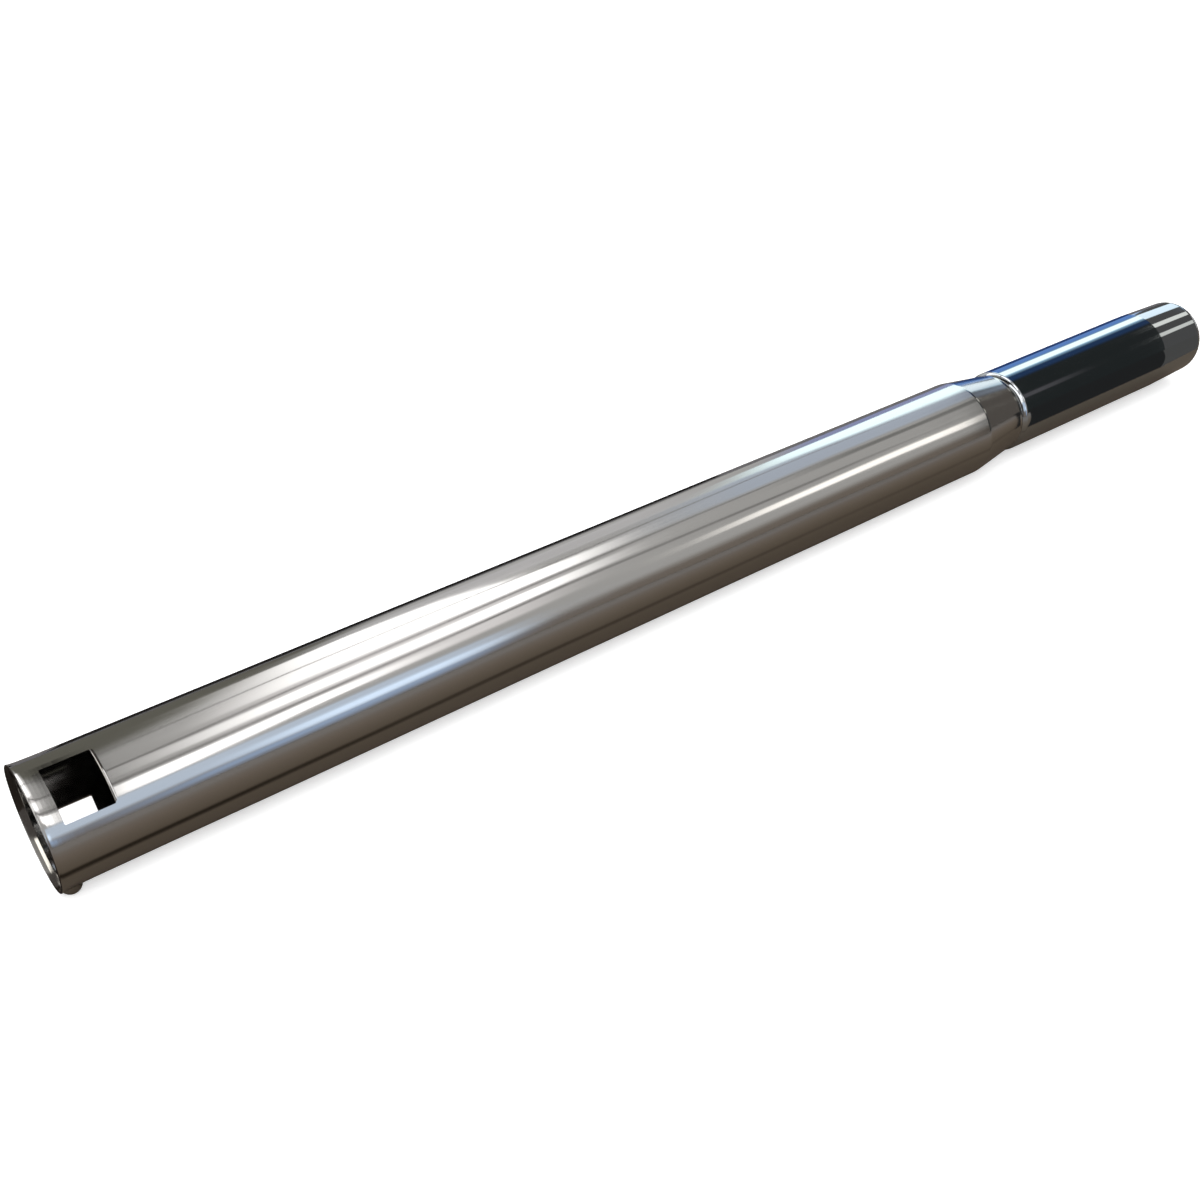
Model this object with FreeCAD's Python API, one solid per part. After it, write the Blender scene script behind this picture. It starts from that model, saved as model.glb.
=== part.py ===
import FreeCAD, Part
import math
import os
from FreeCAD import Vector

# Telescopic vacuum wand, shown pushed together.
# A stainless outer tube has an open mouth for the hose handle at one end and a drawn-in neck at
# the other. A thinner inner tube slides and turns in it, held by brake shoes inside, and carries
# a chromed cuff that takes the floor tools.
#
# Lengths are in millimetres. While the pieces are made, x runs along the wand from the mouth and
# the axis is the line y = z = 0. At the end each piece is moved so that the wand lies on z = 0
# with the middle of its length over the origin. Angles round the wand are degrees up from the
# horizontal on the -Y side.

# Outer tube
TUBE_RADIUS = 17.5
TUBE_WALL = 1.0
TUBE_LENGTH = 364.0

# Mouth: the rim is belled out, and the bore is sized for the handle's spigot as far as the socket
RIM_FLARE = 0.45
FLARE_LENGTH = 4.5
FLARE_BEND_RADIUS = 9.0
RIM_EDGE_CHAMFER = 0.2
SOCKET_DEPTH = 62.0
SOCKET_EASE = 0.2

# Two latch windows, punched straight through both walls
WINDOW_START = 5.5
WINDOW_LENGTH = 13.0
WINDOW_CHORD = 16.1
WINDOW_ANGLE = 62.0
WINDOW_CORNER_RADIUS = 0.5

# Key lug: a round dent pushed out of the wall behind the rim, with its inside hollow
LUG_HEIGHT = 2.45
LUG_BALL_RADIUS = 2.95
LUG_STATION = 3.6
LUG_ROOT_RADIUS = 0.4

# Neck: a cone and a short land that clears the inner tube
NECK_CONE_LENGTH = 19.5
NECK_LAND = 1.0
NECK_GAP = 0.3
SHOULDER_BEND_RADIUS = 7.0
NECK_BEND_RADIUS = 4.0

# Inner tube
INNER_RADIUS = 13.3
INNER_WALL = 0.9
INNER_FLARE = 1.1
INNER_FLARE_LENGTH = 2.0
INNER_FLARE_BEND_RADIUS = 2.4

# Cuff for the tools: a drawn tube that widens from the neck, with both ends rolled in
CUFF_RADIUS = 15.25
CUFF_WALL = 1.0
CUFF_LENGTH = 112.5
CUFF_GAP = 0.3
CUFF_SEAT_GAP = 0.02
CUFF_LEAD_LENGTH = 3.6
CUFF_LEAD_DROP = 0.85
NOSE_TAPER_LENGTH = 25.0
NOSE_TAPER_DROP = 0.8
NOSE_LIP_LENGTH = 1.6
NOSE_BEND_RADIUS = 4.5
NOSE_HOLE_RADIUS = 12.2

# Fits
RUNNING_GAP = 0.06
SEAT_GAP = 0.05
END_GAP = 0.1

# Neck bush, its seal and the snap ring behind it
BUSH_LENGTH = 36.0
BUSH_INTO_CONE = 4.0
BUSH_LAND = 8.0
SEAL_WIDTH = 3.0
SEAL_DEPTH = 1.8
SEAL_LIP_HEIGHT = 0.7
SEAL_LIP_LAND = 0.8
BUSH_RING_WIDTH = 1.4
BUSH_RING_DEPTH = 1.3
BUSH_RING_BITE = 0.3
RING_OPENING = 28.0

# Travel of the inner tube, and the gap left at the outer stop
TRAVEL = 200.0
STOP_GAP = 0.3

# Rear guide with its brake shoes, ring spring, snap ring and bumper
GUIDE_LENGTH = 30.0
SHOE_COUNT = 3
SHOE_LENGTH = 14.0
SHOE_CHORD = 11.0
SHOE_POCKET_GAP = 0.15
SHOE_CROWN = 0.6
SPRING_WIDTH = 8.0
SPRING_THICKNESS = 0.5
GUIDE_RING_WIDTH = 1.2
GUIDE_RING_DEPTH = 1.3
GUIDE_RING_BITE = 0.3
BUMPER_LENGTH = 3.0
BUMPER_THICKNESS = 1.7

# Sizes that follow from those above
BORE_RADIUS = TUBE_RADIUS - TUBE_WALL
RIM_RADIUS = TUBE_RADIUS + RIM_FLARE
NECK_BORE_RADIUS = INNER_RADIUS + NECK_GAP
NECK_RADIUS = NECK_BORE_RADIUS + TUBE_WALL
CONE_END = TUBE_LENGTH - NECK_LAND
CONE_START = CONE_END - NECK_CONE_LENGTH
CUFF_START = TUBE_LENGTH + CUFF_GAP
WAND_LENGTH = CUFF_START + CUFF_LENGTH
SLIDING_RADIUS = INNER_RADIUS + RUNNING_GAP
BUSH_END = CONE_START + BUSH_INTO_CONE
BUSH_START = BUSH_END - BUSH_LENGTH
BUMPER_END = BUSH_START - STOP_GAP - TRAVEL
BUMPER_START = BUMPER_END - BUMPER_LENGTH
GUIDE_RING_STATION = BUMPER_START - END_GAP - GUIDE_RING_WIDTH / 2
GUIDE_END = GUIDE_RING_STATION - GUIDE_RING_WIDTH / 2 - END_GAP
GUIDE_START = GUIDE_END - GUIDE_LENGTH
INNER_START = GUIDE_START - END_GAP - INNER_FLARE_LENGTH
NOSE_BEND_STATION = WAND_LENGTH - NOSE_LIP_LENGTH
INNER_END = NOSE_BEND_STATION - NOSE_BEND_RADIUS
LUG_BALL_OFFSET = TUBE_RADIUS + LUG_HEIGHT - LUG_BALL_RADIUS
# The lug touches the surface that the rim lies on, so it keeps the wand from rolling.
LUG_ANGLE = -math.degrees(math.asin((RIM_RADIUS - LUG_BALL_RADIUS) / LUG_BALL_OFFSET))

ALONG = Vector(1, 0, 0)
AXIS_POINT = Vector(0, 0, 0)


def outward(angle, distance=1.0, x=0.0):
    """The point at a station and a distance from the axis, at an angle round the wand."""
    turn = math.radians(angle)
    return Vector(x, -distance * math.cos(turn), distance * math.sin(turn))


def offset_path(path, depth):
    """A bent path of (x, radius, bend) moved to its right by a depth, as the inside of a wall."""
    sides = []
    for (x0, r0, _), (x1, r1, _) in zip(path, path[1:]):
        run = math.hypot(x1 - x0, r1 - r0)
        sides.append(((x1 - x0) / run, (r1 - r0) / run))
    moved = []
    for i, (x, r, bend) in enumerate(path):
        ax, ar = sides[max(i - 1, 0)]
        bx, br = sides[min(i, len(sides) - 1)]
        turn = ax * br - ar * bx
        share = depth / (1.0 + ax * bx + ar * br)
        near = (x + share * (ar + br), r - share * (ax + bx))
        if bend:
            bend = bend + depth if turn > 0 else max(bend - depth, 0.0)
        moved.append((near[0], near[1], bend))
    return moved


def path_edges(path):
    """Straight edges and tangent arcs along a path of (x, radius, bend) points."""
    edges = []
    start = Vector(path[0][0], 0, path[0][1])
    for before, here, after in zip(path, path[1:], path[2:]):
        corner = Vector(here[0], 0, here[1])
        back = (Vector(before[0], 0, before[1]) - corner).normalize()
        ahead = (Vector(after[0], 0, after[1]) - corner).normalize()
        half = back.getAngle(ahead) / 2
        if here[2] > 0:
            reach = here[2] / math.tan(half)
            first = corner + back * reach
            last = corner + ahead * reach
            middle = corner + (back + ahead).normalize() * (here[2] / math.sin(half) - here[2])
            edges.append(Part.LineSegment(start, first).toShape())
            edges.append(Part.Arc(first, middle, last).toShape())
            start = last
        else:
            edges.append(Part.LineSegment(start, corner).toShape())
            start = corner
    edges.append(Part.LineSegment(start, Vector(path[-1][0], 0, path[-1][1])).toShape())
    return edges


def turned(edges):
    """A solid of revolution about the wand's axis from a closed run of edges."""
    face = Part.Face(Part.Wire(Part.__sortEdges__(edges)))
    return Part.makeSolid(face.revolve(AXIS_POINT, ALONG, 360).Shells[0])


def drawn_tube(path, wall, sharp_inside=False):
    """A tube of even wall whose outside follows a bent path."""
    inside = offset_path(path, wall)
    if sharp_inside:
        inside = [(x, r, 0) for x, r, _ in inside]
    edges = path_edges(path) + path_edges(inside)
    for a, b in ((path[0], inside[0]), (path[-1], inside[-1])):
        edges.append(Part.LineSegment(Vector(a[0], 0, a[1]), Vector(b[0], 0, b[1])).toShape())
    return turned(edges)


def filled(path):
    """The solid that a bent path encloses down to the axis."""
    edges = path_edges(path)
    first, last = path[0], path[-1]
    corners = [Vector(first[0], 0, first[1]), Vector(first[0], 0, 0),
               Vector(last[0], 0, 0), Vector(last[0], 0, last[1])]
    for a, b in zip(corners, corners[1:]):
        edges.append(Part.LineSegment(a, b).toShape())
    return turned(edges)


def disc(radius, start, end):
    """A plain cylinder on the wand's axis between two stations."""
    return Part.makeCylinder(radius, end - start, Vector(start, 0, 0), ALONG)


def sleeve(outer, inner, start, end):
    """A plain ring on the wand's axis between two stations."""
    return disc(outer, start, end).cut(disc(inner, start, end))


def opening_wedge(angle, reach, start, end):
    """A wedge that opens a ring by an angle at the top of the wand."""
    half = math.radians(angle / 2)
    side = reach * math.sin(half)
    height = reach * math.cos(half)
    tip = Vector(start, 0, 0)
    outline = [tip, Vector(start, -side, height), Vector(start, side, height), tip]
    return Part.Face(Part.makePolygon(outline)).extrude(Vector(end - start, 0, 0))


def ease_rim(shape, x, size):
    """Chamfers the round edges that lie across the wand at a station."""
    edges = [edge for edge in shape.Edges
             if all(abs(vertex.Point.x - x) < 1e-6 for vertex in edge.Vertexes)]
    return shape.makeChamfer(size, edges)


def turn_about_axis(shape, angle):
    """A copy of a shape turned about the wand's axis."""
    copy = shape.copy()
    copy.rotate(AXIS_POINT, ALONG, angle)
    return copy


def tube_outline():
    """The outside of the outer tube from its rim to its neck."""
    return [
        (0.0, RIM_RADIUS, 0),
        (FLARE_LENGTH, TUBE_RADIUS, FLARE_BEND_RADIUS),
        (CONE_START, TUBE_RADIUS, SHOULDER_BEND_RADIUS),
        (CONE_END, NECK_RADIUS, NECK_BEND_RADIUS),
        (TUBE_LENGTH, NECK_RADIUS, 0),
    ]


def window_punch():
    """The punch that makes both latch windows in one stroke."""
    reach = TUBE_RADIUS + LUG_HEIGHT
    punch = Part.makeBox(WINDOW_LENGTH, WINDOW_CHORD, 2 * reach,
                         Vector(WINDOW_START, -WINDOW_CHORD / 2, -reach))
    upright = [edge for edge in punch.Edges if edge.BoundBox.ZLength > reach]
    punch = punch.makeFillet(WINDOW_CORNER_RADIUS, upright)
    return turn_about_axis(punch, 90 - WINDOW_ANGLE)


def lug_centre():
    return outward(LUG_ANGLE, LUG_BALL_OFFSET, LUG_STATION)


def raise_lug(tube):
    """Adds the outside of the pushed-out lug to the tube, with a rounded root."""
    centre = lug_centre()
    ahead_of_rim = disc(2 * TUBE_RADIUS, 0, 2 * FLARE_LENGTH + LUG_BALL_RADIUS)
    ball = Part.makeSphere(LUG_BALL_RADIUS, centre).common(ahead_of_rim)
    outside = ball.cut(disc(BORE_RADIUS + TUBE_WALL / 2, -LUG_BALL_RADIUS, LUG_BALL_RADIUS * 3))
    tube = tube.fuse(outside).removeSplitter()
    root = []
    for edge in tube.Edges:
        middle = edge.valueAt((edge.FirstParameter + edge.LastParameter) / 2)
        on_ball = abs(middle.distanceToPoint(centre) - LUG_BALL_RADIUS) < 1e-3
        on_tube = math.hypot(middle.y, middle.z) < RIM_RADIUS
        if on_ball and on_tube:
            root.append(edge)
    if root:
        tube = tube.makeFillet(LUG_ROOT_RADIUS, root)
    return tube


def lug_hollow():
    """The dent that the lug's punch leaves inside the tube."""
    return Part.makeSphere(LUG_BALL_RADIUS - TUBE_WALL, lug_centre())


def make_outer_tube():
    tube = drawn_tube(tube_outline(), TUBE_WALL)
    tube = tube.cut(disc(BORE_RADIUS + SOCKET_EASE, 0, SOCKET_DEPTH))
    groove_half = BUSH_RING_WIDTH / 2 + SEAT_GAP
    tube = tube.cut(disc(BORE_RADIUS + BUSH_RING_BITE + SEAT_GAP, bush_ring_station() - groove_half,
                         bush_ring_station() + groove_half))
    tube = ease_rim(tube, TUBE_LENGTH, RIM_EDGE_CHAMFER)
    tube = raise_lug(tube)
    tube = ease_rim(tube, 0.0, RIM_EDGE_CHAMFER)
    return tube.cut([lug_hollow(), window_punch()])


def bush_ring_station():
    return BUSH_START - SEAT_GAP - BUSH_RING_WIDTH / 2


def seal_station():
    return BUSH_START + BUSH_LAND + SEAL_WIDTH / 2


def make_neck_bush():
    """The plastic bearing that fills the end of the bore and the start of the cone."""
    seat = [(x, r, 0) for x, r, _ in offset_path(tube_outline(), TUBE_WALL + SEAT_GAP)]
    bush = filled(seat).common(disc(TUBE_RADIUS, BUSH_START, BUSH_END))
    bush = bush.cut(disc(SLIDING_RADIUS, BUSH_START, BUSH_END))
    groove_half = SEAL_WIDTH / 2 + SEAT_GAP
    return bush.cut(disc(SLIDING_RADIUS + SEAL_DEPTH, seal_station() - groove_half,
                         seal_station() + groove_half))


def make_neck_seal():
    """A rubber ring with a square lip that wipes the inner tube."""
    start = seal_station() - SEAL_WIDTH / 2
    end = seal_station() + SEAL_WIDTH / 2
    ring = sleeve(SLIDING_RADIUS + SEAL_DEPTH - SEAT_GAP, SLIDING_RADIUS, start, end)
    return ring.cut(disc(SLIDING_RADIUS + SEAL_LIP_HEIGHT, start, end - SEAL_LIP_LAND))


def make_bush_snap_ring():
    """A ring of flat spring wire, open at the top, in the groove behind the bush."""
    start = bush_ring_station() - BUSH_RING_WIDTH / 2
    end = bush_ring_station() + BUSH_RING_WIDTH / 2
    outer = BORE_RADIUS + BUSH_RING_BITE
    ring = sleeve(outer, outer - BUSH_RING_DEPTH, start, end)
    return ring.cut(opening_wedge(RING_OPENING, 2 * TUBE_RADIUS, start, end))


def make_inner_tube():
    outline = [
        (INNER_START, INNER_RADIUS + INNER_FLARE, 0),
        (INNER_START + INNER_FLARE_LENGTH, INNER_RADIUS, INNER_FLARE_BEND_RADIUS),
        (INNER_END, INNER_RADIUS, 0),
    ]
    tube = drawn_tube(outline, INNER_WALL)
    groove_half = GUIDE_RING_WIDTH / 2 + SEAT_GAP
    return tube.cut(sleeve(INNER_RADIUS + INNER_FLARE, INNER_RADIUS - GUIDE_RING_BITE - SEAT_GAP,
                           GUIDE_RING_STATION - groove_half, GUIDE_RING_STATION + groove_half))


def make_guide_snap_ring():
    """A ring of flat spring wire on the inner tube that keeps the guide on it."""
    start = GUIDE_RING_STATION - GUIDE_RING_WIDTH / 2
    end = GUIDE_RING_STATION + GUIDE_RING_WIDTH / 2
    inner = INNER_RADIUS - GUIDE_RING_BITE
    ring = sleeve(inner + GUIDE_RING_DEPTH, inner, start, end)
    return ring.cut(opening_wedge(RING_OPENING, 2 * TUBE_RADIUS, start, end))


def make_stop_bumper():
    """The rubber ring that meets the bush when the wand is pulled right out."""
    return sleeve(INNER_RADIUS + BUMPER_THICKNESS, INNER_RADIUS, BUMPER_START, BUMPER_END)


def make_tool_cuff():
    """The chromed cuff, rolled in at both ends."""
    outline = [
        (CUFF_START, INNER_RADIUS + CUFF_SEAT_GAP, 0),
        (CUFF_START, CUFF_RADIUS - CUFF_LEAD_DROP, 0),
        (CUFF_START + CUFF_LEAD_LENGTH, CUFF_RADIUS, 0),
        (NOSE_BEND_STATION - NOSE_TAPER_LENGTH, CUFF_RADIUS, 0),
        (NOSE_BEND_STATION, CUFF_RADIUS - NOSE_TAPER_DROP, NOSE_BEND_RADIUS),
        (WAND_LENGTH, NOSE_HOLE_RADIUS, 0),
    ]
    return drawn_tube(outline, CUFF_WALL, sharp_inside=True)


def shoe_middle():
    return (GUIDE_START + GUIDE_END) / 2


def shoe_block(gap, inner, outer):
    """A block that spans a shoe's place at the top of the wand, between two radii."""
    length = SHOE_LENGTH + 2 * gap
    chord = SHOE_CHORD + 2 * gap
    box = Part.makeBox(length, chord, 2 * TUBE_RADIUS, Vector(shoe_middle() - length / 2, -chord / 2, 0))
    ring = sleeve(outer, inner, shoe_middle() - length / 2, shoe_middle() + length / 2)
    return box.common(ring).removeSplitter()


def spring_inner_radius():
    return SLIDING_RADIUS + SEAT_GAP


def shoe_inner_radius():
    return spring_inner_radius() + SPRING_THICKNESS + SEAT_GAP


def make_rear_guide():
    """The plastic sleeve that centres the inner tube in the bore and holds the brake shoes."""
    guide = sleeve(BORE_RADIUS - RUNNING_GAP, SLIDING_RADIUS, GUIDE_START, GUIDE_END)
    groove_half = SPRING_WIDTH / 2 + END_GAP
    guide = guide.cut(disc(shoe_inner_radius(), shoe_middle() - groove_half, shoe_middle() + groove_half))
    pocket = shoe_block(SHOE_POCKET_GAP, SLIDING_RADIUS - SEAT_GAP, TUBE_RADIUS)
    return guide.cut([turn_about_axis(pocket, shoe_angle(i)) for i in range(SHOE_COUNT)])


def shoe_angle(index):
    return index * 360.0 / SHOE_COUNT


def make_brake_shoe(index):
    """A friction pad with eased ends that the ring spring presses on the bore."""
    outer = BORE_RADIUS - SEAT_GAP
    shoe = shoe_block(0.0, shoe_inner_radius() + SEAT_GAP, outer)
    crown = []
    for edge in shoe.Edges:
        ends = [vertex.Point for vertex in edge.Vertexes]
        across = edge.BoundBox.XLength < 1e-6 and edge.BoundBox.YLength > SHOE_CHORD / 4
        if across and all(abs(math.hypot(p.y, p.z) - outer) < 1e-6 for p in ends):
            crown.append(edge)
    return turn_about_axis(shoe.makeChamfer(SHOE_CROWN, crown), shoe_angle(index))


def make_brake_spring():
    """An open band of spring steel under the brake shoes."""
    start = shoe_middle() - SPRING_WIDTH / 2
    end = shoe_middle() + SPRING_WIDTH / 2
    inner = spring_inner_radius()
    band = sleeve(inner + SPRING_THICKNESS, inner, start, end)
    gap = opening_wedge(RING_OPENING, 2 * TUBE_RADIUS, start, end)
    return band.cut(turn_about_axis(gap, 180.0 / SHOE_COUNT))


def lay_down(shape):
    """Moves a piece from the wand's own stations to where it lies at rest."""
    placed = shape.copy()
    placed.translate(Vector(-WAND_LENGTH / 2, 0, RIM_RADIUS))
    return placed


pieces = {
    "outer_tube": make_outer_tube(),
    "neck_bush": make_neck_bush(),
    "neck_seal": make_neck_seal(),
    "bush_snap_ring": make_bush_snap_ring(),
    "inner_tube": make_inner_tube(),
    "tool_cuff": make_tool_cuff(),
    "guide_snap_ring": make_guide_snap_ring(),
    "stop_bumper": make_stop_bumper(),
    "rear_guide": make_rear_guide(),
    "brake_spring": make_brake_spring(),
}
for number in range(SHOE_COUNT):
    pieces[f"brake_shoe_{number + 1}"] = make_brake_shoe(number)

os.makedirs("parts", exist_ok=True)
for name, piece in pieces.items():
    resting = lay_down(piece)
    resting.exportStep(f"parts/{name}.step")
    box = resting.BoundBox
    print(f"{name:16s} solids {len(resting.Solids)} valid {resting.isValid()} volume {resting.Volume:9.1f}"
          f"  x {box.XMin:8.2f} {box.XMax:8.2f}  z {box.ZMin:6.2f} {box.ZMax:6.2f}")
print(f"wand length {WAND_LENGTH:.1f}, lug angle {LUG_ANGLE:.1f}, guide {GUIDE_START:.1f} to {GUIDE_END:.1f}")
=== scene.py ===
import math

import bmesh
import bpy
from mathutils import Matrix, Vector


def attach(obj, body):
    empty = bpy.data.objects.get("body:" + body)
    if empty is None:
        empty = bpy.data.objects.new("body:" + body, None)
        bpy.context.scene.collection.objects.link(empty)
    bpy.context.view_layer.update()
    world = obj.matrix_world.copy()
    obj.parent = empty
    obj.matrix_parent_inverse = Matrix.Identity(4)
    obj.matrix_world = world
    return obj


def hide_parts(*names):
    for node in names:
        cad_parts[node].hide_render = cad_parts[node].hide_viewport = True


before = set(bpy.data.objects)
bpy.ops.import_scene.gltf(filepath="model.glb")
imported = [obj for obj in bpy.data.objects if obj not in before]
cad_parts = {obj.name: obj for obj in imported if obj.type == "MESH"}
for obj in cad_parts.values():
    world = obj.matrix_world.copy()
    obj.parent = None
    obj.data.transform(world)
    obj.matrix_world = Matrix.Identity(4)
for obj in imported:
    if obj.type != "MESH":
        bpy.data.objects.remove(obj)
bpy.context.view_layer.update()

# Lengths are in millimetres and stations run along the wand from its mouth, until place() turns
# them into metres in the model's own frame. Angles are degrees up from the horizontal on the
# -Y side.
MM = 0.001
WAND_LENGTH = 476.8
AXIS_HEIGHT = 17.95
AXIS = Vector((0.0, 0.0, AXIS_HEIGHT * MM))
MERGE_WITHIN = 1e-7

# Outer tube
TUBE = 17.5
WALL = 1.0
BORE = 16.5
SOCKET = 16.7
BELL_END = 8.0

# Latch windows, made by one punch that goes through both walls
WINDOW_MIDDLE = 12.0
WINDOW_LENGTH = 13.0
WINDOW_CHORD = 16.1
WINDOW_ANGLE = 62.0
WINDOW_CORNER = 0.3
PUNCH_HEIGHT = 60.0
PUNCH_CORNER_STEPS = 4
ROLLED_EDGE = 0.22
ROLLED_EDGE_STEPS = 3

# Key lug, the round end of a punch that pushes the wall out
LUG_STATION = 3.6
LUG_ANGLE = -61.9
LUG_BALL = 2.88
LUG_BALL_OFFSET = 17.0
LUG_EASE = 0.7
LUG_END = 9.0
ROOT_RISE = 0.35
ROOT_SPREAD = 0.9

# Ripple in the tube's radius: height, length of one radian along the wand, lobes round it, phase
DRAW_WAVES = ((0.030, 27.0, 2, 0.0), (0.022, 17.0, -3, 1.3), (0.009, 11.0, 5, 0.4))
RIPPLE_START, RIPPLE_END = 20.0, 343.0
RIPPLE_FADES_IN, RIPPLE_FADES_OUT = 20, 15

# Meshes
TURN_STEPS = 288
INNER_TURN_STEPS = 224
BELL_PITCH = 0.4
TUBE_PITCH = 5.0
PLAIN_PITCH = 12.0
BEND_STEPS = 6
WIDE_BEND = 10
WIDE_BEND_STEPS = 14
SHARP_ANGLE = 28

# Outlines as rows of station, radius and the radius of the bend there. Each runs along the
# outside towards the tip and back along the inside.
OUTER_TUBE_OUTLINE = (
    # The bell
    (0.0, 17.95, 0.25), (0.7, 17.76, 4.0), (1.3, 17.68, 10.0), (2.0, 17.63, 30.0),
    (3.0, 17.585, 40.0), (5.0, 17.54, 90.0), (BELL_END, TUBE, 200.0),
    # The neck
    (343.5, TUBE, 7.0), (363.0, 14.6, 3.0), (364.0, 14.6, 0.25), (364.0, 13.6, 0.25),
    (362.8, 13.6, 4.0), (343.3, BORE, 6.0),
    # The handle's socket and the inside of the bell
    (62.0, BORE, 0), (62.0, SOCKET, 0), (BELL_END, SOCKET, 0), (2.0, SOCKET, 2.0),
    (1.0, 16.86, 1.5), (0.0, 17.2, 0.2))
TOOL_CUFF_OUTLINE = (
    # The foot on the inner tube, and the widening lead
    (364.3, 13.32, 0), (364.3, 14.4, 0.25), (366.0, 15.25, 2.2),
    # The narrowing tip, rolled in at its end
    (450.2, 15.25, 6.0), (475.2, 14.45, 4.5), (476.8, 12.2, 0.3), (475.98, 11.62, 0),
    (474.5, 13.47, 3.0), (450.2, 14.25, 0),
    # The inside of the lead
    (368.1, 14.25, 0), (365.3, 13.6, 0), (365.3, 13.32, 0))
INNER_TUBE_OUTLINE = (
    # The belled rear end, and the groove of the guide's ring
    (74.7, 14.4, 0.2), (76.7, 13.3, 2.4), (106.85, 13.3, 0), (106.85, 12.95, 0),
    (108.15, 12.95, 0), (108.15, 13.3, 0),
    # The end in the cuff, and the inside
    (470.7, 13.3, 0.2), (470.7, 12.4, 0.2), (76.3, 12.4, 2.0), (74.7, 13.3, 0.2))

# Camera, fitted to the photograph: its place in metres, where it looks and its lens, and then its
# station and its distance from the wand's axis
CAMERA_PLACE = (-0.2748, -0.2890, 0.2760)
CAMERA_VIEW = (0.4825, 0.6460, -0.5915)
CAMERA_LENS = 42.27
CAMERA_STATION = -36.4
CAMERA_DISTANCE = 387.4

# Studio
FIRST_CARD = 3400.0
CARD_STEP = 12.0
CARD_CELLS = 24
CUFF_STATION = 400
FENCE_Y = -22
MAT_HEIGHT = 0.2
CLOTH_HEIGHT = 0.5
MAT_REACH = 160
MAT_SKEW = 1.4
FLOOR_GLOW = 0.55
SKY_LIGHT = 0.5
# Slopes, in mm along the wand for each mm away from it, at which the part of the room begins that
# shows in the cuff, in its narrowing tip, and in the neck
CUFF_SLOPE, TIP_SLOPE, NECK_SLOPE = 1.012, 1.335, 1.64


def place(station, radius, angle=90.0):
    """A point in the model's frame from a station, a radius and an angle round the wand."""
    turn = math.radians(angle)
    return Vector(((station - WAND_LENGTH / 2) * MM, -radius * math.cos(turn) * MM,
                   (AXIS_HEIGHT + radius * math.sin(turn)) * MM))


def station_of(point):
    return point.x / MM + WAND_LENGTH / 2


def radius_of(point):
    return math.hypot(point.y, point.z - AXIS.z) / MM


def angle_of(point):
    return math.degrees(math.atan2(point.z - AXIS.z, -point.y))


# ---- shapes


def as_mesh(bm, name):
    mesh = bpy.data.meshes.new(name)
    bm.to_mesh(mesh)
    bm.free()
    return mesh


def add_object(name, data):
    item = bpy.data.objects.new(name, data)
    bpy.context.scene.collection.objects.link(item)
    return item


def outline(bm, points, pitch):
    """A closed wire of stations and radii, its bends rounded and its long sides divided."""
    verts = [bm.verts.new(place(x, r)) for x, r, _ in points]
    for pair in zip(verts, verts[1:] + verts[:1]):
        bm.edges.new(pair)
    for i, (x, r, bend) in enumerate(points):
        if bend:
            back = Vector(points[i - 1][:2]) - Vector((x, r))
            ahead = Vector(points[(i + 1) % len(points)][:2]) - Vector((x, r))
            reach = bend / math.tan(back.angle(ahead) / 2)
            bmesh.ops.bevel(bm, geom=[verts[i]], offset=reach * MM, offset_type="OFFSET",
                            segments=BEND_STEPS if bend < WIDE_BEND else WIDE_BEND_STEPS,
                            profile=0.5, affect="VERTICES", material=-1)
    for edge in bm.edges[:]:
        middle = station_of((edge.verts[0].co + edge.verts[1].co) / 2)
        cuts = math.ceil(edge.calc_length() / MM / pitch(middle)) - 1
        if cuts > 0:
            bmesh.ops.subdivide_edges(bm, edges=[edge], cuts=cuts)


def turned(points, pitch, steps):
    """A mesh turned about the wand's axis from a closed outline."""
    bm = bmesh.new()
    outline(bm, points, pitch)
    bmesh.ops.spin(bm, geom=bm.verts[:] + bm.edges[:], cent=AXIS, axis=(1, 0, 0), dvec=(0, 0, 0),
                   angle=math.tau, steps=steps, use_merge=True, use_duplicate=False)
    bmesh.ops.remove_doubles(bm, verts=bm.verts, dist=MERGE_WITHIN)
    bmesh.ops.recalc_face_normals(bm, faces=bm.faces)
    return bm


def outer_pitch(station):
    return BELL_PITCH if station < BELL_END else TUBE_PITCH


def plain_pitch(station):
    return PLAIN_PITCH


def shown(mesh, name, body, nodes, material):
    """Shows a mesh in place of nodes, smooth but for its sharp edges."""
    mesh.shade_smooth()
    mesh.set_sharp_from_angle(angle=math.radians(SHARP_ANGLE))
    mesh.materials.clear()
    mesh.materials.append(material)
    piece = add_object(name, mesh)
    even = piece.modifiers.new("even_shading", "WEIGHTED_NORMAL")
    even.keep_sharp = True
    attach(piece, body)
    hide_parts(*nodes)


def draw_waves(point):
    """The slight ripple that drawing and bending leave in a tube's radius, in mm."""
    x, turn = station_of(point), math.radians(angle_of(point))
    return sum(height * math.sin(x / length + lobes * turn + phase)
               for height, length, lobes, phase in DRAW_WAVES)


def push_out(vert, distance):
    away = vert.co - AXIS
    away.x = 0.0
    vert.co += away.normalized() * distance * MM


def ripple(bm):
    """Ripples the outside of the tube, less towards its ends."""
    for vert in bm.verts:
        x = station_of(vert.co)
        if RIPPLE_START < x < RIPPLE_END and radius_of(vert.co) > TUBE - WALL / 2:
            share = min(1.0, (x - RIPPLE_START) / RIPPLE_FADES_IN,
                        (RIPPLE_END - x) / RIPPLE_FADES_OUT)
            push_out(vert, draw_waves(vert.co) * share)


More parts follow.
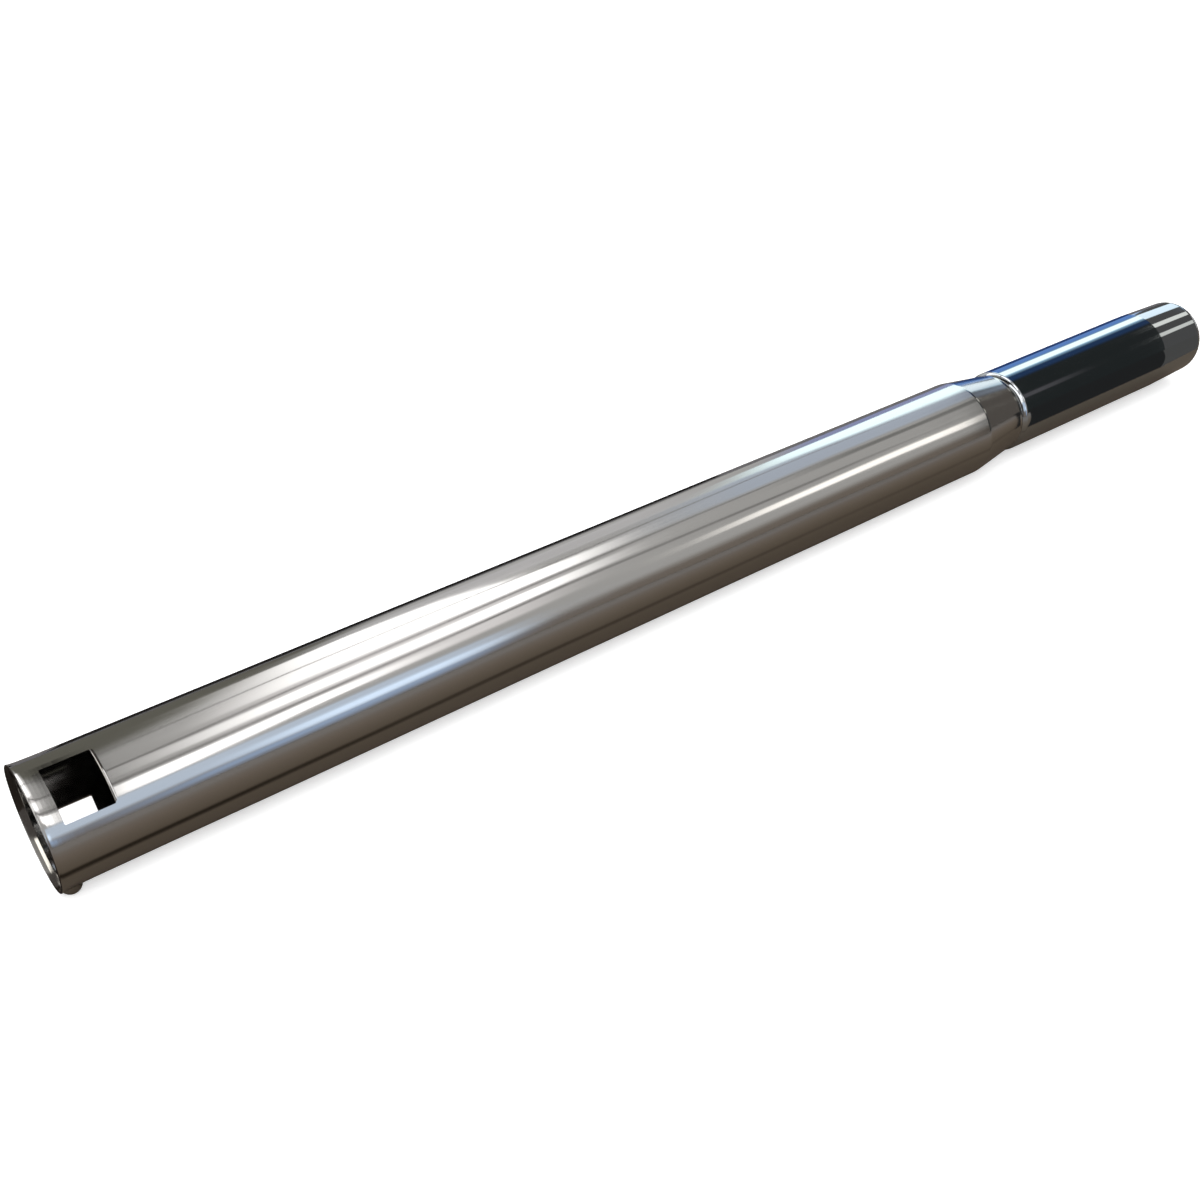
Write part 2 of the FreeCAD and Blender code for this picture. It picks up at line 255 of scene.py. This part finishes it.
def raise_lug(bm):
    """Pushes the round key lug out of the wall, with its dent behind it and a soft root."""
    for vert in bm.verts:
        x, r = station_of(vert.co), radius_of(vert.co)
        off = math.radians(angle_of(vert.co) - LUG_ANGLE)
        if x > LUG_END or math.cos(off) < 0.5:
            continue
        ball = LUG_BALL if r > TUBE - WALL / 2 else LUG_BALL - WALL
        middle = LUG_BALL_OFFSET * math.cos(off)
        room = ball ** 2 - (x - LUG_STATION) ** 2 - (LUG_BALL_OFFSET * math.sin(off)) ** 2
        if room > 0:
            rise = middle + math.sqrt(room) - r
            push_out(vert, (rise + math.sqrt(rise * rise + LUG_EASE * LUG_EASE)) / 2)
        else:
            beyond = math.sqrt(-room)
            push_out(vert, ROOT_RISE * math.exp(-(beyond / ROOT_SPREAD) ** 2))


def window_punch():
    """A block through the tube's axis, with rounded corners, that cuts both windows."""
    bm = bmesh.new()
    bmesh.ops.create_cube(bm, size=1.0)
    bmesh.ops.scale(bm, vec=(WINDOW_LENGTH * MM, WINDOW_CHORD * MM, PUNCH_HEIGHT * MM),
                    verts=bm.verts)
    upright = [e for e in bm.edges if abs(e.verts[0].co.z - e.verts[1].co.z) > 0.01]
    bmesh.ops.bevel(bm, geom=upright, offset=WINDOW_CORNER * MM, offset_type="OFFSET",
                    segments=PUNCH_CORNER_STEPS, profile=0.5, affect="EDGES", material=-1)
    turn = math.radians(90.0 - WINDOW_ANGLE)
    for vert in bm.verts:
        x, y, z = vert.co
        vert.co = (x, y * math.cos(turn) - z * math.sin(turn),
                   y * math.sin(turn) + z * math.cos(turn))
    bmesh.ops.translate(bm, vec=place(WINDOW_MIDDLE, 0.0), verts=bm.verts)
    return add_object("window_punch", as_mesh(bm, "window_punch"))


def roll_window_edges(mesh):
    """Rounds the edge of each window that lies farther from the mouth."""
    end = WINDOW_MIDDLE + WINDOW_LENGTH / 2
    bm = bmesh.new()
    bm.from_mesh(mesh)
    edges = [e for e in bm.edges if all(
        abs(station_of(v.co) - end) < 0.01 and radius_of(v.co) > TUBE - 0.1 for v in e.verts)]
    bmesh.ops.bevel(bm, geom=edges, offset=ROLLED_EDGE * MM, offset_type="OFFSET",
                    segments=ROLLED_EDGE_STEPS, profile=0.5, affect="EDGES", material=-1)
    bm.to_mesh(mesh)
    bm.free()


def make_outer_tube(material):
    bm = turned(OUTER_TUBE_OUTLINE, outer_pitch, TURN_STEPS)
    ripple(bm)
    raise_lug(bm)
    blank = add_object("outer_tube_blank", as_mesh(bm, "outer_tube_blank"))
    punch = window_punch()
    cut = blank.modifiers.new("windows", "BOOLEAN")
    cut.operation = "DIFFERENCE"
    cut.solver = "EXACT"
    cut.object = punch
    bpy.context.view_layer.update()
    pierced = blank.evaluated_get(bpy.context.evaluated_depsgraph_get())
    mesh = bpy.data.meshes.new_from_object(pierced)
    for scrap in (blank, punch):
        bpy.data.objects.remove(scrap)
    roll_window_edges(mesh)
    shown(mesh, "outer_tube_drawn", "outer_body", ["outer_tube"], material)


def make_cuff(material):
    mesh = as_mesh(turned(TOOL_CUFF_OUTLINE, plain_pitch, TURN_STEPS), "tool_cuff_drawn")
    shown(mesh, "tool_cuff_drawn", "extension", ["tool_cuff"], material)


def make_inner_tube(material):
    mesh = as_mesh(turned(INNER_TUBE_OUTLINE, plain_pitch, INNER_TURN_STEPS), "inner_tube_drawn")
    shown(mesh, "inner_tube_drawn", "extension", ["inner_tube"], material)


# ---- materials


def linear(code):
    """An sRGB hex colour in the linear values that a shader takes."""
    parts = [int(code[i:i + 2], 16) / 255 for i in (0, 2, 4)]
    return [c / 12.92 if c <= 0.04045 else ((c + 0.055) / 1.055) ** 2.4 for c in parts] + [1.0]


def add(tree, kind, inputs=None, **settings):
    """Adds a node, sets its own settings, and sets or links its inputs."""
    node = tree.nodes.new(kind)
    for key, value in settings.items():
        setattr(node, key, value)
    for key, value in (inputs or {}).items():
        if isinstance(value, bpy.types.NodeSocket):
            tree.links.new(value, node.inputs[key])
        else:
            node.inputs[key].default_value = value
    return node


def blank_material(name):
    material = bpy.data.materials.new(name)
    material.use_nodes = True
    material.node_tree.nodes.clear()
    return material, material.node_tree


def drawn_metal(name, colour, roughness, spread, line_depth):
    """A drawn tube polished lengthwise: fine lines along it, and faint smears of handling."""
    material, tree = blank_material(name)
    coords = add(tree, "ShaderNodeTexCoord").outputs["Object"]
    # Polishing lines are about 0.05 mm apart. They are drawn 0.7 mm apart and 90 mm long to show.
    line_length, line_spacing = 0.09, 0.0007
    along = add(tree, "ShaderNodeMapping", {
        "Vector": coords, "Scale": (1 / line_length, 1 / line_spacing, 1 / line_spacing)})
    lines = add(tree, "ShaderNodeTexNoise", {
        "Vector": along.outputs["Vector"], "Scale": 1.0, "Detail": 3.0, "Roughness": 0.6})
    # Smears of handling are as wide as a finger's stroke.
    smear_width = 0.025
    smears = add(tree, "ShaderNodeTexNoise", {
        "Vector": coords, "Scale": 1 / smear_width, "Detail": 4.0, "Roughness": 0.55,
        "Distortion": 0.6})
    both = add(tree, "ShaderNodeMath", {0: lines.outputs["Fac"], 1: smears.outputs["Fac"]},
               operation="ADD")
    gloss = add(tree, "ShaderNodeMapRange", {
        "Value": both.outputs["Value"], "From Min": 0.7, "From Max": 1.3,
        "To Min": roughness - spread, "To Max": roughness + spread})
    bump = add(tree, "ShaderNodeBump", {
        "Height": lines.outputs["Fac"], "Distance": line_depth, "Strength": 1.0})
    metal = add(tree, "ShaderNodeBsdfPrincipled", {
        "Base Color": linear(colour), "Metallic": 1.0, "Roughness": gloss.outputs["Result"],
        "Normal": bump.outputs["Normal"]})
    add(tree, "ShaderNodeOutputMaterial", {"Surface": metal.outputs["BSDF"]})
    return material


def moulded(name, colour, other, roughness, grain):
    """A moulded plastic or rubber: a faint grain and slightly uneven colour."""
    material, tree = blank_material(name)
    coords = add(tree, "ShaderNodeTexCoord").outputs["Object"]
    flow_mark, grain_depth = 0.006, 0.00002
    mottle = add(tree, "ShaderNodeTexNoise", {
        "Vector": coords, "Scale": 1 / flow_mark, "Detail": 3.0})
    shade = add(tree, "ShaderNodeMix", {
        "Factor": mottle.outputs["Fac"], 6: linear(colour), 7: linear(other)}, data_type="RGBA")
    pits = add(tree, "ShaderNodeTexNoise", {"Vector": coords, "Scale": 1 / grain, "Detail": 2.0})
    bump = add(tree, "ShaderNodeBump", {"Height": pits.outputs["Fac"], "Distance": grain_depth})
    body = add(tree, "ShaderNodeBsdfPrincipled", {
        "Base Color": shade.outputs[2], "Roughness": roughness, "Normal": bump.outputs["Normal"]})
    add(tree, "ShaderNodeOutputMaterial", {"Surface": body.outputs["BSDF"]})
    return material


# ---- studio


def card_material(name, colour, strength, soft):
    """A glowing card whose left, right, low and high edges fade over a share of its size."""
    material, tree = blank_material(name)
    uv = add(tree, "ShaderNodeUVMap")
    parts = add(tree, "ShaderNodeSeparateXYZ", {0: uv.outputs["UV"]})
    whole = None
    for axis, share, start, end in (("X", soft[0], 0.0, 1.0), ("X", soft[1], 1.0, 0.0),
                                    ("Y", soft[2], 0.0, 1.0), ("Y", soft[3], 1.0, 0.0)):
        if not share:
            continue
        edge = add(tree, "ShaderNodeMapRange", {
            "Value": parts.outputs[axis], "From Min": start,
            "From Max": start + (end - start) * share},
            interpolation_type="SMOOTHSTEP").outputs["Result"]
        whole = edge if whole is None else add(tree, "ShaderNodeMath", {0: whole, 1: edge},
                                               operation="MULTIPLY").outputs["Value"]
    surface = add(tree, "ShaderNodeEmission", {
        "Color": linear(colour), "Strength": strength}).outputs[0]
    if whole is not None:
        clear = add(tree, "ShaderNodeBsdfTransparent")
        surface = add(tree, "ShaderNodeMixShader", {
            0: whole, 1: clear.outputs[0], 2: surface}).outputs[0]
    add(tree, "ShaderNodeOutputMaterial", {"Surface": surface})
    return material


def on_stage(bm, name, material):
    mesh = as_mesh(bm, name)
    mesh.materials.append(material)
    item = add_object(name, mesh)
    return item


def show_in_metal_only(item):
    item.visible_camera = False
    item.visible_diffuse = False
    item.visible_shadow = False
    item.visible_transmission = False


cards_up = []


def next_distance():
    """Each card stands a little nearer to the wand than the one before it."""
    return FIRST_CARD - CARD_STEP * len(cards_up)


def seen_at(station):
    """Where the next card must stand to show in the straight tube at a station."""
    return station + next_distance() * (station - CAMERA_STATION) / CAMERA_DISTANCE


def seen_from_cuff(slope):
    """Where the next card must stand to show in the cuff, from mm along for each mm away."""
    return CUFF_STATION + slope * next_distance()


def even_rows(start, end, low, high):
    """The rows of a card that spans the same two angles all along."""
    return [(start, low, high), (end, low, high)]


def studio_card(name, colour, strength, rows, soft=(0, 0, 0, 0)):
    """A card bent round the wand's axis that shows only in the metal.

    Each row is a station of the card and the two angles that it spans there.
    """
    distance = next_distance()
    cards_up.append(name)
    bm = bmesh.new()
    bm.loops.layers.uv.verify()
    bmesh.ops.create_grid(bm, x_segments=CARD_CELLS, y_segments=CARD_CELLS, size=1.0,
                          calc_uvs=True)
    first, last = rows[0][0], rows[-1][0]
    for vert in bm.verts:
        x = first + (last - first) * (vert.co.x + 1) / 2
        across = (vert.co.y + 1) / 2
        for (x0, a0, b0), (x1, a1, b1) in zip(rows, rows[1:]):
            if x <= x1 + 1e-3:
                t = (x - x0) / (x1 - x0)
                low, high = a0 + t * (a1 - a0), b0 + t * (b1 - b0)
                break
        vert.co = place(x, distance, low + across * (high - low))
    show_in_metal_only(on_stage(bm, name, card_material(name, colour, strength, soft)))


def fence(name, colour, stations, heights, soft):
    """A small upright card beside the cuff that shows only in the metal."""
    bm = bmesh.new()
    bm.loops.layers.uv.verify()
    bmesh.ops.create_grid(bm, x_segments=1, y_segments=1, size=1.0, calc_uvs=True)
    for vert in bm.verts:
        along, up = (vert.co.x + 1) / 2, (vert.co.y + 1) / 2
        vert.co = ((stations[0] + along * (stations[1] - stations[0]) - WAND_LENGTH / 2) * MM,
                   FENCE_Y * MM, (heights[0] + up * (heights[1] - heights[0])) * MM)
    show_in_metal_only(on_stage(bm, name, card_material(name, colour, 1.0, soft)))


def flat_sheet(name, corners, height, material):
    """A flat sheet on the floor from corners in mm along and across the wand."""
    bm = bmesh.new()
    bm.faces.new([bm.verts.new(((x - WAND_LENGTH / 2) * MM, y * MM, height * MM))
                  for x, y in corners])
    return on_stage(bm, name, material)


def matt(name, colour):
    material, tree = blank_material(name)
    cloth = add(tree, "ShaderNodeBsdfDiffuse", {"Color": linear(colour)})
    add(tree, "ShaderNodeOutputMaterial", {"Surface": cloth.outputs[0]})
    return material


def mat_material():
    """A brown mat, lighter away from the wand, with a painted shadow line beside it that fades
    along.
    """
    material, tree = blank_material("brown_mat")
    coords = add(tree, "ShaderNodeTexCoord").outputs["Object"]
    askew = add(tree, "ShaderNodeMapping", {
        "Vector": coords, "Rotation": (0, 0, math.radians(MAT_SKEW))})
    parts = add(tree, "ShaderNodeSeparateXYZ", {0: askew.outputs["Vector"]})

    def ramp(stops):
        """Colours across the wand, each at its distance from the axis in mm."""
        share = add(tree, "ShaderNodeMapRange", {
            "Value": parts.outputs["Y"], "From Min": -MAT_REACH * MM, "From Max": MAT_REACH * MM})
        node = add(tree, "ShaderNodeValToRGB", {"Fac": share.outputs["Result"]})
        while len(node.color_ramp.elements) < len(stops):
            node.color_ramp.elements.new(0.5)
        for element, (y, colour) in zip(node.color_ramp.elements, stops):
            element.position = (y + MAT_REACH) / (2 * MAT_REACH)
            element.color = linear(colour)
        return node.outputs["Color"]

    mat = ramp(((-160, "85817d"), (-70, "786e64"), (-38, "6c6256"), (0, "6b6156"),
                (30, "747069"), (160, "78777a")))
    # Painted shadow: the wand's contact shadow on the mat, a dark line beside it that fades along
    # the wand
    painted_shadow_line = ramp(((-35.5, "000000"), (-32.5, "ffffff"), (-30.5, "ffffff"), (-27.5, "000000")))
    fade = add(tree, "ShaderNodeMapRange", {
        "Value": parts.outputs["X"], "From Min": -0.19, "From Max": 0.05, "To Min": 1.0,
        "To Max": 0.25})
    share = add(tree, "ShaderNodeMath", {0: painted_shadow_line, 1: fade.outputs["Result"]},
                operation="MULTIPLY")
    colour = add(tree, "ShaderNodeMixRGB", {
        "Fac": share.outputs["Value"], "Color1": mat, "Color2": linear("2c251d")})
    cloth = add(tree, "ShaderNodeBsdfDiffuse", {"Color": colour.outputs["Color"]})
    add(tree, "ShaderNodeOutputMaterial", {"Surface": cloth.outputs[0]})
    return material


def seen_directly(tree):
    """1 for rays from the camera and those that metal or glass sends on, else 0."""
    path = add(tree, "ShaderNodeLightPath")
    either = add(tree, "ShaderNodeMath", {
        0: path.outputs["Is Camera Ray"], 1: path.outputs["Is Glossy Ray"]}, operation="MAXIMUM")
    return add(tree, "ShaderNodeMath", {
        0: either.outputs[0], 1: path.outputs["Is Transmission Ray"]},
        operation="MAXIMUM").outputs[0]


def make_sky():
    """A white surround that looks white but lights the scene at half its strength."""
    world = bpy.data.worlds.new("studio")
    bpy.context.scene.world = world
    world.use_nodes = True
    tree = world.node_tree
    tree.nodes.clear()
    level = add(tree, "ShaderNodeMapRange", {
        "Value": seen_directly(tree), "To Min": SKY_LIGHT, "To Max": 1.0})
    sky = add(tree, "ShaderNodeBackground", {
        "Color": (1, 1, 1, 1), "Strength": level.outputs["Result"]})
    add(tree, "ShaderNodeOutputWorld", {"Surface": sky.outputs[0]})


def make_floor():
    """A pale floor that the wand's shadow falls on, and what lies on it, seen in the metal."""
    material, tree = blank_material("pale_floor")
    paint = add(tree, "ShaderNodeBsdfDiffuse", {"Color": linear("f5f5f5")})
    glow = add(tree, "ShaderNodeEmission", {"Color": (1, 1, 1, 1), "Strength": FLOOR_GLOW})
    both = add(tree, "ShaderNodeAddShader", {0: paint.outputs[0], 1: glow.outputs[0]})
    pick = add(tree, "ShaderNodeMixShader", {
        0: seen_directly(tree), 1: paint.outputs[0], 2: both.outputs[0]})
    add(tree, "ShaderNodeOutputMaterial", {"Surface": pick.outputs[0]})
    flat_sheet("floor", [(-8000, -8000), (12000, -8000), (12000, 8000), (-8000, 8000)], 0.0,
               material)

    show_in_metal_only(flat_sheet(
        "mat", [(-3000, -6000), (11000, -6000), (11000, 6000), (-3000, 6000)], MAT_HEIGHT,
        mat_material()))
    # Cloths that show in the cuff, the top edge and the mouth, and a near-black sheet of painted
    # shadow under the mouth end that shows through the windows
    for name, colour, corners in (
            ("navy_cloth", "344a78", [(409, 45), (508, 45), (4740, 3300), (3700, 3300)]),
            ("dark_strip", "242322", [(20, 42), (262, 42), (450, 310), (45, 310)]),
            # Painted shadow: a near-black sheet under the mouth end, where the wand's own shadow
            # falls
            ("painted_shadow_sheet", "0c0c0b", [(2, -6), (30, -6), (30, 12), (2, 12)]),
            ("dark_end", "2e2925", [(-3000, -4000), (-0.3, -4000), (-0.3, 4000), (-3000, 4000)])):
        show_in_metal_only(flat_sheet(name, corners, CLOTH_HEIGHT, matt(name, colour)))


def make_lamps():
    """Two large soft lamps over the wand, each with its place, size in metres and power."""
    for name, spot, size, power in (("key", (-0.5, -0.7, 1.3), 1.0, 14.0),
                                    ("fill", (0.6, 0.9, 1.2), 1.2, 8.0)):
        light = bpy.data.lights.new(name, "AREA")
        light.shape = "SQUARE"
        light.size = size
        light.energy = power
        lamp = add_object(name, light)
        lamp.location = spot
        lamp.rotation_euler = (AXIS - Vector(spot)).to_track_quat("-Z", "Y").to_euler()
        lamp.visible_glossy = False


def make_cards():
    """The room that the metal mirrors. Each card stands in front of those made before it."""
    at, slope, even = seen_at, seen_from_cuff, even_rows

    # The tent round it all, in four lengths
    for name, colour, low, high in (
            ("grey_tent", "c6c6c4", -0.12, CUFF_SLOPE),
            ("black_tent", "2b2f2f", CUFF_SLOPE, TIP_SLOPE),
            ("tip_tent", "5c5b5a", TIP_SLOPE, NECK_SLOPE),
            ("end_tent", "635f5b", NECK_SLOPE, 5.0)):
        studio_card(name, colour, 1.0, even(slope(low), slope(high), -2, 220))
    # Beyond the mouth, seen in its rolled edge
    studio_card("mouth_tent", "56524f", 1.0, even(-3000, 345, -2, 220))
    studio_card("mouth_lip", "a09e9a", 1.0, even(-3000, -1060, 48, 140), (0, 0, 0.2, 0.1))
    studio_card("mouth_window", "fffcf2", 2.2, even(-1060, -450, 56, 138),
                (0.1, 0.15, 0.06, 0.12))
    # Seen in the widening lead of the cuff
    studio_card("lead_pane", "ffffff", 2.0, even(slope(-0.15), slope(-0.022), 28, 92),
                (0.05, 0.02, 0.15, 0.1))

    # Outer tube: the walls of the room
    studio_card("low_wall", "857c73", 1.0, even(at(-40), slope(CUFF_SLOPE), -4, 26),
                (0, 0, 0, 0.6))
    studio_card("dark_corner", "74736a", 1.0, [
        (at(-2), 98, 200), (at(30), 106, 200), (at(75), 142, 200), (at(115), 170, 200)],
        (0, 0.3, 0.35, 0))
    studio_card("dark_gap", "55534f", 1.0, even(at(170), at(240), 174, 205), (0.4, 0.4, 0.4, 0))
    studio_card("back_wall", "dededf", 1.0, even(at(60), at(250), 132, 174),
                (0.3, 0.3, 0.2, 0.2))
    studio_card("blue_wall", "cedaea", 1.0, even(at(185), slope(CUFF_SLOPE), 94, 140),
                (0.4, 0, 0.2, 0))
    studio_card("violet_wall", "a3acd7", 1.0, even(at(250), slope(CUFF_SLOPE), 150, 200),
                (0.3, 0, 0.2, 0))
    studio_card("dark_line", "8a8a88", 1.0, [(at(250), 82, 94), (slope(CUFF_SLOPE), 80, 92)],
                (0.4, 0, 0.4, 0.4))

    # The windows in them
    studio_card("bright_wall", "f4f2f2", 1.3, [
        (at(35), 40, 110), (at(100), 40, 140), (at(185), 44, 100)], (0.35, 0.35, 0.1, 0.2))
    studio_card("upper_pane", "ffffff", 2.6, [
        (at(38), 95, 154), (at(95), 95, 158), (at(125), 96, 150), (at(155), 98, 122),
        (at(205), 98, 114)], (0.4, 0.3, 0.04, 0.06))
    studio_card("middle_pane", "ffffff", 2.4, [
        (at(14), 66, 82), (at(100), 66, 84), (at(205), 70, 88)], (0.4, 0.3, 0.12, 0.12))
    studio_card("low_pane", "ffffff", 2.6, [
        (at(14), 34, 54), (at(40), 36, 55), (at(80), 43, 57), (at(125), 46, 55)],
        (0.1, 0.4, 0.12, 0.12))
    studio_card("pale_blue", "dcecff", 1.1, [(at(-30), 9, 38), (at(160), 12, 36)],
                (0, 0.2, 0.3, 0.2))
    studio_card("deep_blue", "a9c0e0", 1.15, [(at(-10), -4, 14), (at(160), -2, 16)],
                (0.4, 0.3, 0.7, 0.3))
    studio_card("blue_glow", "d4e8ff", 2.0, [(at(40), 11, 27), (at(160), 9, 25)],
                (0.45, 0.45, 0.4, 0.3))
    studio_card("sky_pane", "e4faff", 2.1, [
        (at(225), 140, 158), (at(290), 128, 162), (slope(CUFF_SLOPE), 118, 164)],
        (0.35, 0, 0.25, 0.1))
    studio_card("cream_strip", "fffdf8", 2.1, [
        (at(205), 38, 48), (at(262), 36, 51), (at(352), 33, 51)], (0.4, 0, 0.25, 0.25))
    # Their bars, each with half its width and its angles along the wand
    for number, (width, angles) in enumerate((
            (1.6, (116, 124, 123, 128, 120)), (2.4, (80, 89, 94, 94, 87)),
            (3.2, (57, 60, 66, 62, 58)))):
        studio_card("window_bar_%d" % (number + 1), "8d8b8a", 1.0,
                    [(at(x), a - width, a + width)
                     for x, a in zip((-20, 80, 170, 260, 352), angles)],
                    (0.1, 0.25, 0.4, 0.4))
    # The dark part of the room that shows inside the near window
    studio_card("window_shade", "1c1b1a", 1.0, [
        (at(-9), 36, 150), (at(12), 36, 150), (at(13), 36, 134), (at(17), 36, 134)],
        (0.12, 0.04, 0.03, 0.03))

    # Cuff
    fence("black_fence", "2b2c2c", (375.6, 459.6), (10.5, 25.5), (0.01, 0, 0.14, 0))
    fence("grey_fence", "5a5957", (459.6, 492), (10.5, 25.5), (0, 0, 0.14, 0))
    for name, colour, strength, low, high, soft in (
            ("cuff_blue", "6f9ae0", 1.0, 150, 200, 0.2),
            ("cuff_navy", "2c4468", 1.0, 98, 130, 0.4),
            ("cuff_sky", "a8d0ee", 1.0, 118, 162, 0.3),
            ("cuff_pane", "eeffff", 1.9, 128, 156, 0.25)):
        studio_card(name, colour, strength, even(slope(CUFF_SLOPE), slope(TIP_SLOPE), low, high),
                    (0, 0, soft, soft))
    studio_card("cuff_edge", "5e5c5e", 1.0, even(slope(CUFF_SLOPE), slope(1.20), 40, 56),
                (0, 0.6, 0.3, 0.3))

    # Narrowing tip and neck
    studio_card("neck_sky", "b4cdf0", 1.2, even(slope(1.305), slope(1.37), 160, 186),
                (0, 0, 0.1, 0.2))
    for name, colour, strength, low, high in (
            ("tip_pane", "e6f6ff", 1.6, 125, 162), ("tip_stripe", "ecece4", 1.4, 83, 99),
            ("tip_line", "e8e8e0", 1.2, 48, 61)):
        studio_card(name, colour, strength, even(slope(1.345), slope(NECK_SLOPE), low, high),
                    (0, 0, 0.1, 0.1))
    studio_card("neck_pane", "c4e2f8", 1.2, even(slope(1.56), slope(2.6), 124, 164),
                (0.05, 0, 0.1, 0.3))
    studio_card("neck_grey", "8f9cae", 1.0, even(slope(1.5), slope(2.6), 98, 125),
                (0.22, 0, 0.6, 0))


def make_camera():
    lens = bpy.data.cameras.new("camera")
    lens.sensor_width = 36.0
    lens.lens = CAMERA_LENS
    lens.clip_start = 0.01
    camera = add_object("camera", lens)
    camera.location = CAMERA_PLACE
    camera.rotation_euler = Vector(CAMERA_VIEW).to_track_quat("-Z", "Y").to_euler()
    bpy.context.scene.camera = camera


# ---- the wand

# Satin stainless steel: a warm grey whose mirror images are drawn out and soft along the tube
outer_steel = drawn_metal("stainless_steel_drawn_satin", "c3c1bf", 0.11, 0.03, 0.000004)
# The sliding tube of the same steel, finer drawn: a neutral grey
inner_steel = drawn_metal("stainless_steel_drawn_polished", "c6c6c6", 0.12, 0.03, 0.000003)
# Chrome: a cold grey with nearly sharp mirror images, so the cuff looks darker and glossier
cuff_chrome = drawn_metal("chrome_plate_on_drawn_steel", "c0c4c8", 0.05, 0.015, 0.000001)
# Oiled spring steel: dull and dark beside the tubes
spring_steel = drawn_metal("spring_steel_rolled_oiled", "9a9aa0", 0.3, 0.06, 0.000004)
# Natural acetal: a creamy, waxy white
acetal = moulded("acetal_moulded_natural", "dcd9cf", "e6e3da", 0.42, 0.0006)
# Filled nylon: a dry charcoal black with a fine grain
nylon = moulded("filled_nylon_moulded_black", "232323", "2c2c2b", 0.55, 0.0004)
# Nitrile rubber: a dull black that shows hardly any gloss
rubber = moulded("nitrile_rubber_moulded", "1a1a1a", "232322", 0.7, 0.0005)

make_outer_tube(outer_steel)
make_cuff(cuff_chrome)
make_inner_tube(inner_steel)

# The pieces inside keep their solids' shapes
finishes = {
    "neck_bush": acetal, "rear_guide": acetal, "neck_seal": rubber, "stop_bumper": rubber,
    "bush_snap_ring": spring_steel, "guide_snap_ring": spring_steel,
    "brake_spring": spring_steel, "brake_shoe_1": nylon, "brake_shoe_2": nylon,
    "brake_shoe_3": nylon,
}
for node, finish in finishes.items():
    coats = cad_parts[node].data.materials
    for index in range(len(coats)):
        coats[index] = finish

make_sky()
make_floor()
make_lamps()
make_cards()
make_camera()
bpy.context.scene.view_settings.view_transform = "Standard"
